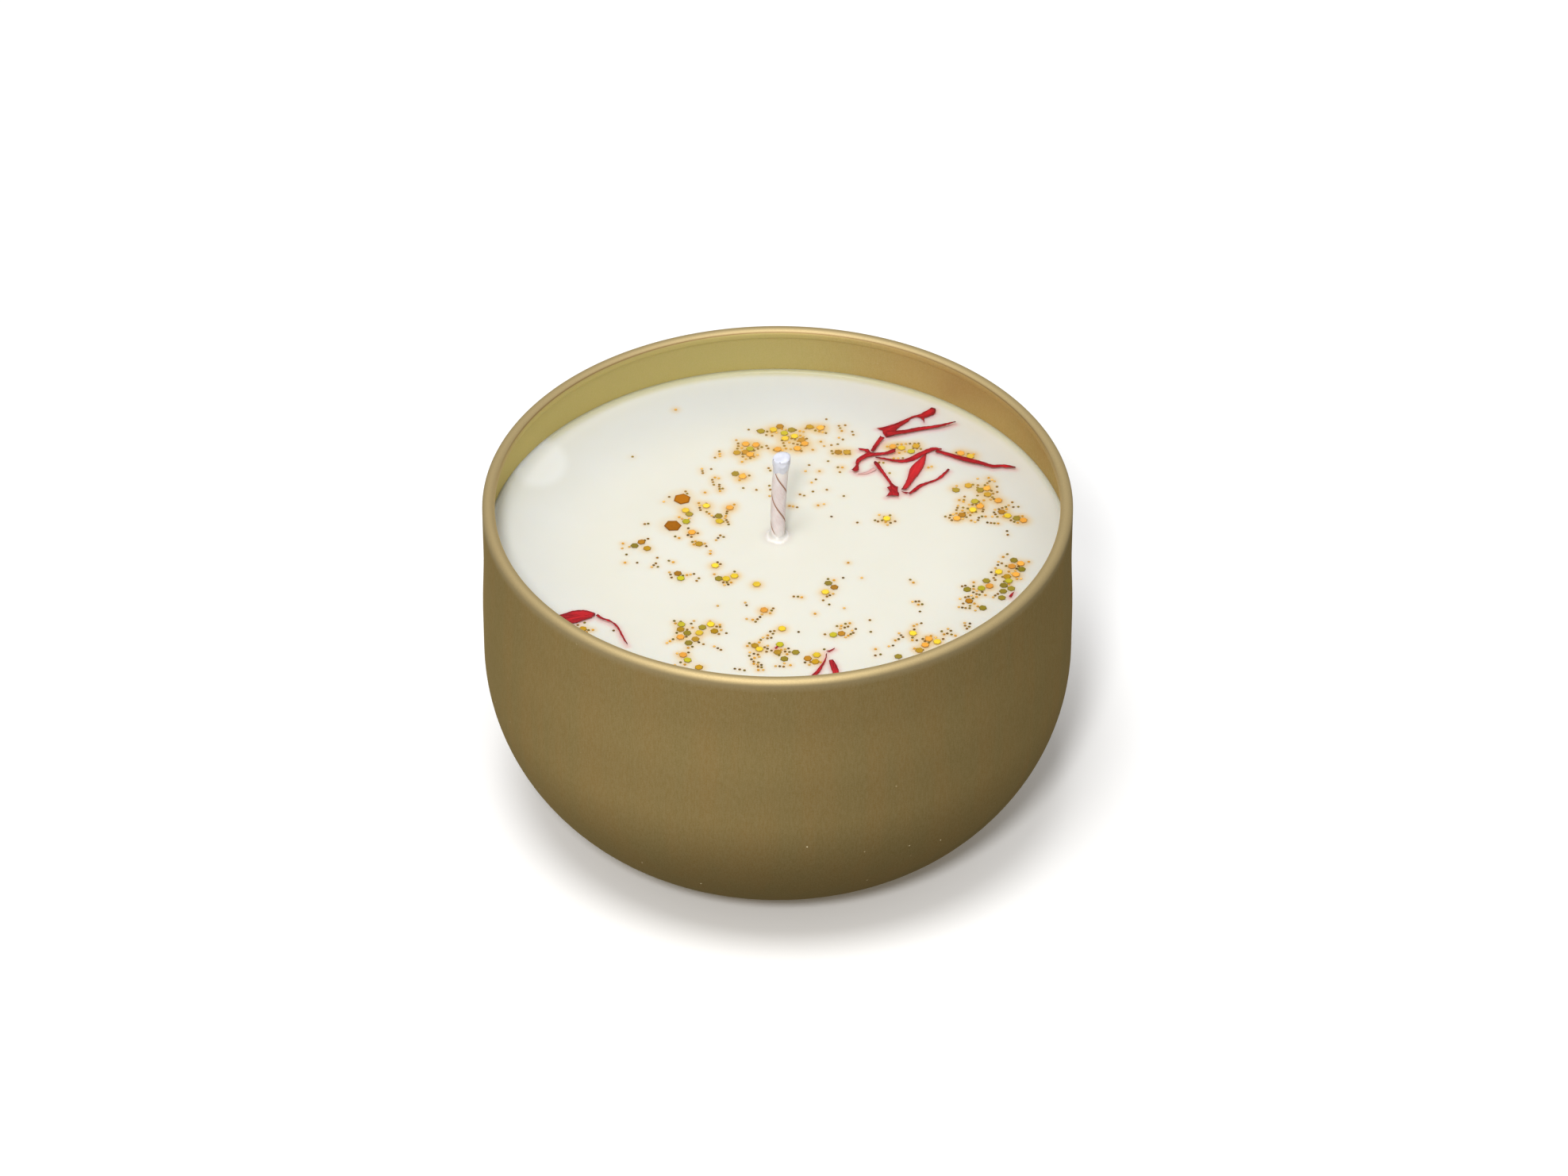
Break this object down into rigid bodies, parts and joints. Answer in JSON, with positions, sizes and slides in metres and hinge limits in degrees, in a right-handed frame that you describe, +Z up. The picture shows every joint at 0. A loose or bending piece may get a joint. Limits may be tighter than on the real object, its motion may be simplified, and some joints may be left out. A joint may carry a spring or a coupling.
{
  "type": "candle tin",
  "caption": "Round scented candle in a rounded gold tin with a curled rim: cream wax, a wound cotton wick, hexagon glitter and dried red petals.",
  "frame": {"origin": "centre of the tin's footprint, on the table", "axes": "+Z up through the wax and out of the open top, +X to the right and +Y to the back as the candle is seen from its front"},
  "size_m": [0.08, 0.08, 0.056],
  "materials": {
    "gold_tinplate": "satin gold lacquer over fine-grained tinplate, a little darker and browner below the rim",
    "wax": "smooth cream container wax, soft sheen, slightly translucent",
    "wick_cotton": "braided cotton, wax-soaked, pale pinkish white",
    "wick_thread": "brown paper thread",
    "wick_cap_wax": "white wax coat with tiny dark specks",
    "sustainer_steel": "plain tinned steel",
    "sticker_foam": "white double-sided foam",
    "glitter_amber": "metallised polyester film, amber brown",
    "glitter_gold": "metallised polyester film, gold",
    "glitter_olive": "metallised polyester film, olive",
    "glitter_brown": "metallised polyester film, brown",
    "glitter_yellow": "metallised polyester film, yellow",
    "glitter_orange": "metallised polyester film, orange",
    "glitter_lime": "metallised polyester film, lime",
    "glitter_fine_brown": "metallised polyester film, fine, brown",
    "glitter_fine_olive": "metallised polyester film, fine, olive",
    "glitter_fine_gold": "metallised polyester film, fine, gold",
    "glitter_fine_peach": "metallised polyester film, fine, peach",
    "glitter_fine_umber": "metallised polyester film, fine, umber",
    "petal": "dried red petal, thin and veined, darker at torn ends"
  },
  "bodies": {
    "root": {"tin_cup": "gold_tinplate", "wick_sticker": "sticker_foam", "wick_sustainer": "sustainer_steel", "wick_core": "wick_cotton", "wick_thread": "wick_thread", "wick_cap": "wick_cap_wax", "wax_fill": "wax", "glitter_large_amber": "glitter_amber", "glitter_medium_gold": "glitter_gold", "glitter_medium_olive": "glitter_olive", "glitter_medium_brown": "glitter_brown", "glitter_medium_yellow": "glitter_yellow", "glitter_medium_orange": "glitter_orange", "glitter_medium_lime": "glitter_lime", "glitter_fine_brown": "glitter_fine_brown", "glitter_fine_olive": "glitter_fine_olive", "glitter_fine_gold": "glitter_fine_gold", "glitter_fine_peach": "glitter_fine_peach", "glitter_fine_umber": "glitter_fine_umber", "petal_wide_blade": "petal", "petal_long_strand": "petal", "petal_short_link": "petal", "petal_hooked_strand": "petal", "petal_wavy_strand": "petal", "petal_curved_strand": "petal", "petal_leaf": "petal", "petal_knotted_strand": "petal", "petal_pale_strand": "petal", "petal_thin_strand": "petal", "petal_folded_piece": "petal", "petal_tail_strand": "petal", "petal_front_strand": "petal", "petal_front_leaf": "petal", "petal_front_sliver": "petal", "petal_crumbs": "petal"}
  },
  "joints": []
}
